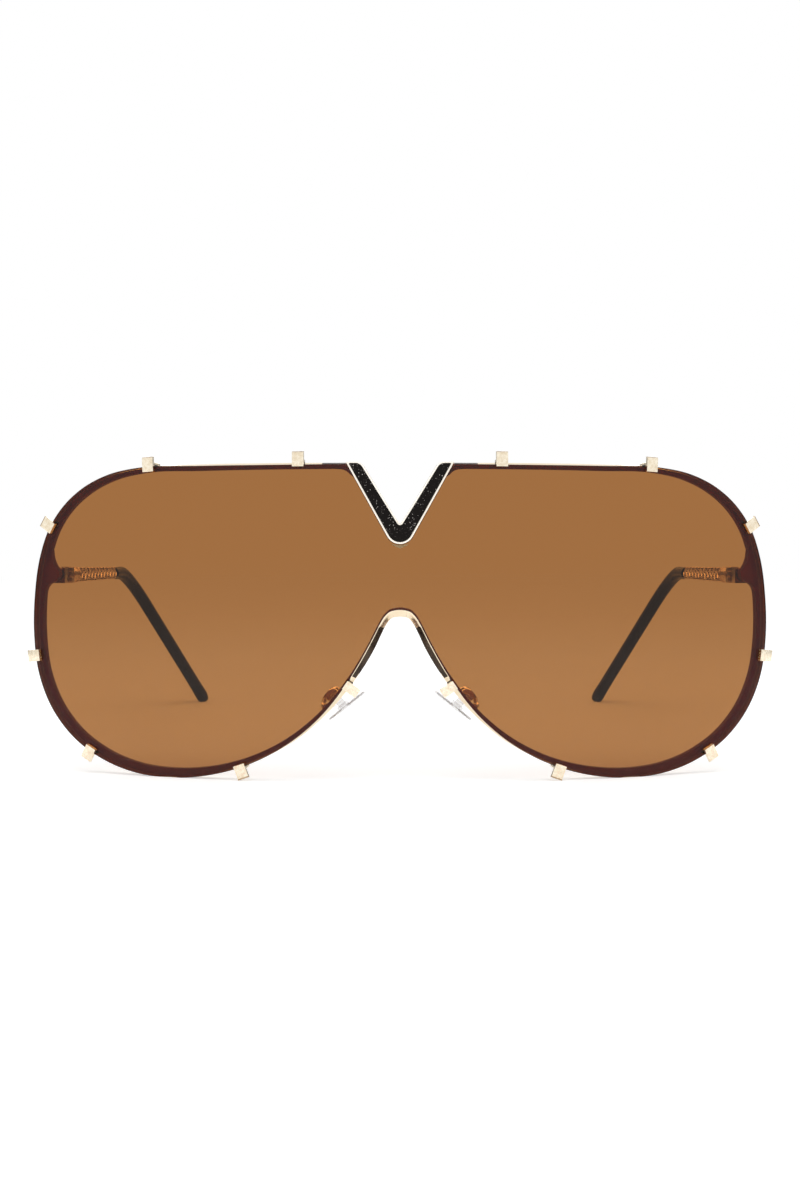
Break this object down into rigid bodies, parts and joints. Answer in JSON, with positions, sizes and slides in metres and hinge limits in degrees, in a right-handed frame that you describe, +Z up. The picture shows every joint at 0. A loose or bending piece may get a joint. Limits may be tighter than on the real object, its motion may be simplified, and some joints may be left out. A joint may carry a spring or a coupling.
{
  "type": "sunglasses",
  "caption": "Oversized aviator shield sunglasses: one wrapped brown lens held by metal claws, a V bridge with a dark enamel inlay, braided folding temples and clear rocking nose pads.",
  "frame": {"origin": "centre of the bounding box of the open glasses, on the surface that they stand on", "axes": "+Z up, +X towards the wearer's left, +Y back along the temples; the lens faces -Y"},
  "size_m": [0.154, 0.147, 0.0664],
  "materials": {
    "brown_lens": "polished, clear brown tint",
    "gold_metal": "polished pale gold plating",
    "black_enamel": "glossy black with fine glitter",
    "brown_plastic": "satin dark brown",
    "clear_silicone": "clear, smooth"
  },
  "bodies": {
    "front": {"claw_left_brow_inner": "gold_metal", "claw_left_brow_outer": "gold_metal", "claw_left_cheek_inner": "gold_metal", "claw_left_cheek_outer": "gold_metal", "claw_left_nose": "gold_metal", "claw_left_temple_lower": "gold_metal", "claw_left_temple_upper": "gold_metal", "claw_right_brow_inner": "gold_metal", "claw_right_brow_outer": "gold_metal", "claw_right_cheek_inner": "gold_metal", "claw_right_cheek_outer": "gold_metal", "claw_right_nose": "gold_metal", "claw_right_temple_lower": "gold_metal", "claw_right_temple_upper": "gold_metal", "front_hinge_left": "gold_metal", "front_hinge_right": "gold_metal", "front_rim": "gold_metal", "hinge_screw_left": "gold_metal", "hinge_screw_right": "gold_metal", "pad_arm_left": "gold_metal", "pad_arm_right": "gold_metal", "pad_screw_left": "gold_metal", "pad_screw_right": "gold_metal", "shield_lens": "brown_lens", "v_bridge_enamel": "black_enamel", "v_bridge_trim": "gold_metal"},
    "temple_left_arm": {"temple_hinge_left": "gold_metal", "temple_left": "gold_metal", "temple_tip_left": "brown_plastic"},
    "temple_right_arm": {"temple_hinge_right": "gold_metal", "temple_right": "gold_metal", "temple_tip_right": "brown_plastic"},
    "left_pad": {"nose_pad_left": "clear_silicone"},
    "right_pad": {"nose_pad_right": "clear_silicone"}
  },
  "joints": [
    {"name": "left_temple_fold", "type": "hinge", "parent": "front", "child": "temple_left_arm", "pos_m": [0.07, -0.04214, 0.0396], "axis": [-0.003, 0.0645, 0.9979], "range_deg": [0, 87]},
    {"name": "right_temple_fold", "type": "hinge", "parent": "front", "child": "temple_right_arm", "pos_m": [-0.07, -0.04214, 0.0396], "axis": [-0.003, -0.0645, -0.9979], "range_deg": [0, 81]},
    {"name": "left_pad_rock", "type": "hinge", "parent": "front", "child": "left_pad", "pos_m": [0.0134, -0.06214, 0.0167], "axis": [-0.1607, 0.9781, 0.132], "range_deg": [-8, 8]},
    {"name": "right_pad_rock", "type": "hinge", "parent": "front", "child": "right_pad", "pos_m": [-0.0134, -0.06214, 0.0167], "axis": [-0.1607, -0.9781, -0.132], "range_deg": [-8, 8]}
  ]
}
